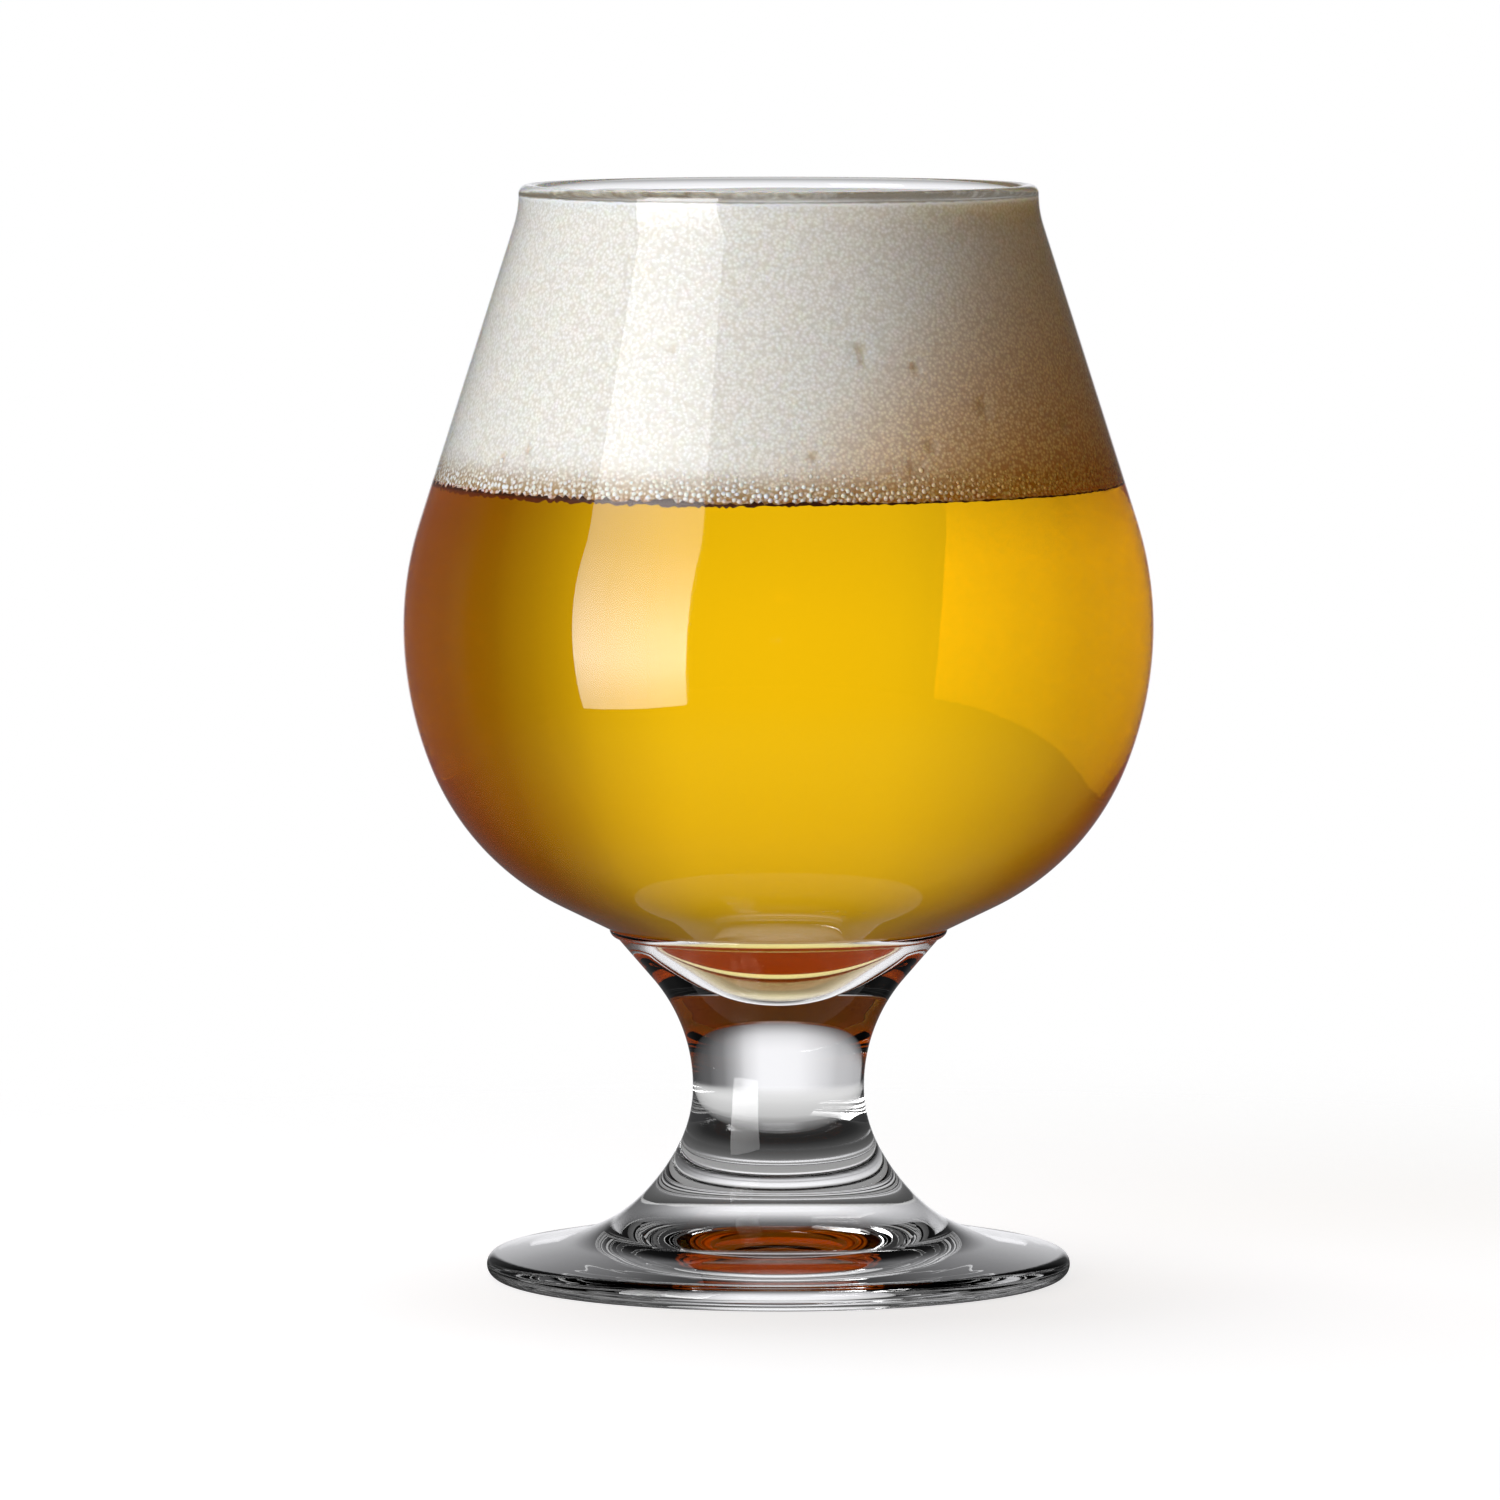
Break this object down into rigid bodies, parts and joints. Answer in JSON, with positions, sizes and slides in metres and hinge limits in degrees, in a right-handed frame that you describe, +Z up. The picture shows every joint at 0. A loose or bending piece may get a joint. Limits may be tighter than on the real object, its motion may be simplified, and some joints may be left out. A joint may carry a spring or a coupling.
{
  "type": "belgian beer glass",
  "caption": "Footed tulip beer glass: wide belly, tapering upper wall, rounded lip, waisted solid stem and round foot, filled with golden beer under a deep pale head of foam.",
  "frame": {"origin": "on the axis of revolution, in the plane of the foot's bearing ring, which is the table", "axes": "+Z up along the axis of revolution; the glass is round, so +X and +Y are free, and the front view looks along +Y"},
  "size_m": [0.1, 0.1, 0.1459],
  "materials": {
    "clear_glass": "clear fire-polished soda-lime glass",
    "golden_beer": "clear golden beer",
    "beer_foam": "matte fine-celled foam"
  },
  "bodies": {
    "root": {"bowl": "clear_glass", "stem": "clear_glass", "foot": "clear_glass", "beer": "golden_beer", "foam_head": "beer_foam"}
  },
  "joints": []
}
